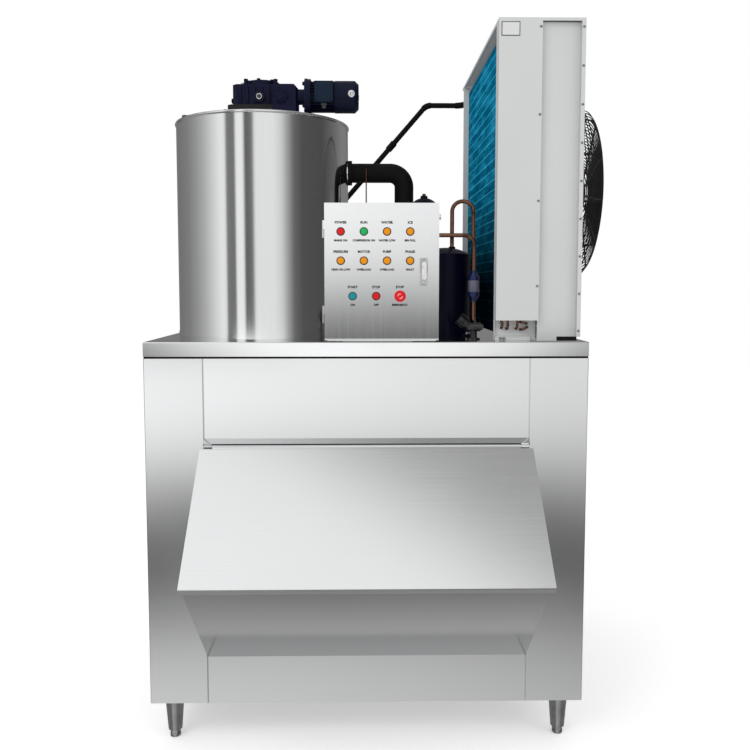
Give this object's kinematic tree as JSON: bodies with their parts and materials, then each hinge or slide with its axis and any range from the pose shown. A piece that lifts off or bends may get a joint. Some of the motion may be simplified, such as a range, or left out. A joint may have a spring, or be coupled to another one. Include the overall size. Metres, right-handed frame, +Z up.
{
  "type": "flake ice machine",
  "caption": "Stainless flake ice machine: insulated ice bin with a sloping lift-up door, ice drum with geared motor, control box, compressor and upright fan condenser.",
  "frame": {"origin": "on the floor, at the centre of the machine's outline seen from above", "axes": "+X towards the machine's right with its condenser, +Y towards its back, +Z up"},
  "size_m": [1.66, 1.549, 2.567],
  "materials": {
    "stainless": "satin stainless sheet",
    "grey_metal": "galvanised grey",
    "casting": "machined casting",
    "black_paint": "black enamel",
    "navy_paint": "navy enamel over cast iron",
    "black_foam": "black closed-cell insulation",
    "copper": "drawn copper tube",
    "drier_blue": "blue enamel",
    "dark_navy": "very dark navy enamel",
    "bright_metal": "polished plate",
    "panel_paint": "light grey powder coat",
    "dark_plastic": "moulded plastic",
    "lens": "coloured lens",
    "start_teal": "gloss moulded cap",
    "stop_red": "gloss moulded cap",
    "fin_blue": "blue hydrophilic fin coating",
    "white_sheet": "white powder coat",
    "motor_grey": "dark grey enamel",
    "fan_black": "black-painted pressed blades",
    "pad_rubber": "moulded rubber"
  },
  "bodies": {
    "cabinet": {"bin_floor": "stainless", "bin_left_wall": "stainless", "bin_right_wall": "stainless", "bin_back_wall": "stainless", "upper_front_panel": "stainless", "lower_front_panel": "stainless", "hopper": "stainless", "hinge_rail": "stainless", "door_hinge_pin": "stainless", "deck": "stainless", "deck_beams": "grey_metal", "legs": "stainless", "drum_base_ring": "stainless", "drum_jacket": "stainless", "evaporator_wall": "stainless", "drum_cover": "stainless", "lower_bearing": "casting", "gearbox_stand": "black_paint", "main_gearbox": "navy_paint", "input_gearbox": "navy_paint", "motor_frame": "navy_paint", "terminal_box": "navy_paint", "fan_cowl": "navy_paint", "suction_line": "black_foam", "liquid_line": "black_foam", "copper_lines": "copper", "filter_drier": "drier_blue", "liquid_receiver": "black_paint", "compressor": "dark_navy", "service_valve": "bright_metal", "control_case": "panel_paint", "case_backplate": "grey_metal", "switchgear": "dark_plastic", "coil_fins": "fin_blue", "coil_end_plates": "grey_metal", "coil_tubes": "copper", "header_cover": "white_sheet", "condenser_casing": "white_sheet", "condenser_roof": "white_sheet", "fan_panel": "white_sheet", "fan_guard": "black_paint", "fan_motor": "motor_grey", "condenser_pads": "pad_rubber"},
    "bin_door": {"bin_door": "stainless"},
    "control_door": {"control_door": "panel_paint", "device_bezels": "bright_metal", "lamp_lenses": "lens", "lock_plate": "bright_metal"},
    "lock_handle": {"lock_handle": "bright_metal"},
    "start_button": {"start_button": "start_teal"},
    "stop_button": {"stop_button": "stop_red"},
    "emergency_stem": {"emergency_stem": "dark_plastic"},
    "emergency_head": {"emergency_button": "stop_red"},
    "scraper": {"main_shaft": "stainless", "ice_blade": "stainless"},
    "condenser_fan": {"condenser_fan": "fan_black"},
    "foot_front_left": {"foot_front_left": "stainless"},
    "foot_front_right": {"foot_front_right": "stainless"},
    "foot_rear_left": {"foot_rear_left": "stainless"},
    "foot_rear_right": {"foot_rear_right": "stainless"}
  },
  "joints": [
    {"name": "bin_door_hinge", "type": "hinge", "parent": "cabinet", "child": "bin_door", "pos_m": [-0.055, -0.39954, 1.092], "axis": [-1, 0, 0], "range_deg": [0, 80]},
    {"name": "control_door_hinge", "type": "hinge", "parent": "cabinet", "child": "control_door", "pos_m": [-0.20682, -0.32354, 1.698], "axis": [0, 0, -1], "range_deg": [0, 110]},
    {"name": "lock_turn", "type": "hinge", "parent": "control_door", "child": "lock_handle", "pos_m": [0.14468, -0.34154, 1.725], "axis": [0, -1, 0], "range_deg": [0, 90]},
    {"name": "start_press", "type": "slide", "parent": "control_door", "child": "start_button", "axis": [0, 1, 0], "range_m": [0, 0.004], "stiffness_N_per_m": 900},
    {"name": "stop_press", "type": "slide", "parent": "control_door", "child": "stop_button", "axis": [0, 1, 0], "range_m": [0, 0.004], "stiffness_N_per_m": 900},
    {"name": "emergency_press", "type": "slide", "parent": "control_door", "child": "emergency_stem", "axis": [0, 1, 0], "range_m": [0, 0.004], "stiffness_N_per_m": 1500},
    {"name": "emergency_twist", "type": "hinge", "parent": "emergency_stem", "child": "emergency_head", "pos_m": [0.06068, -0.34154, 1.614], "axis": [0, -1, 0], "range_deg": [0, 45], "stiffness_Nm_per_rad": 0.05},
    {"name": "scraper_spin", "type": "hinge", "parent": "cabinet", "child": "scraper", "pos_m": [-0.455, 0.02446, 1.755], "axis": [0, 0, 1], "continuous": true},
    {"name": "condenser_fan_spin", "type": "hinge", "parent": "cabinet", "child": "condenser_fan", "pos_m": [0.7, 0.16646, 2.023], "axis": [1, 0, 0], "continuous": true},
    {"name": "foot_front_left_turn", "type": "hinge", "parent": "cabinet", "child": "foot_front_left", "pos_m": [-0.76, -0.30554, 0.02], "axis": [0, 0, 1], "continuous": true},
    {"name": "foot_front_right_turn", "type": "hinge", "parent": "cabinet", "child": "foot_front_right", "pos_m": [0.65, -0.30554, 0.02], "axis": [0, 0, 1], "continuous": true},
    {"name": "foot_rear_left_turn", "type": "hinge", "parent": "cabinet", "child": "foot_rear_left", "pos_m": [-0.76, 0.70446, 0.02], "axis": [0, 0, 1], "continuous": true},
    {"name": "foot_rear_right_turn", "type": "hinge", "parent": "cabinet", "child": "foot_rear_right", "pos_m": [0.65, 0.70446, 0.02], "axis": [0, 0, 1], "continuous": true}
  ]
}
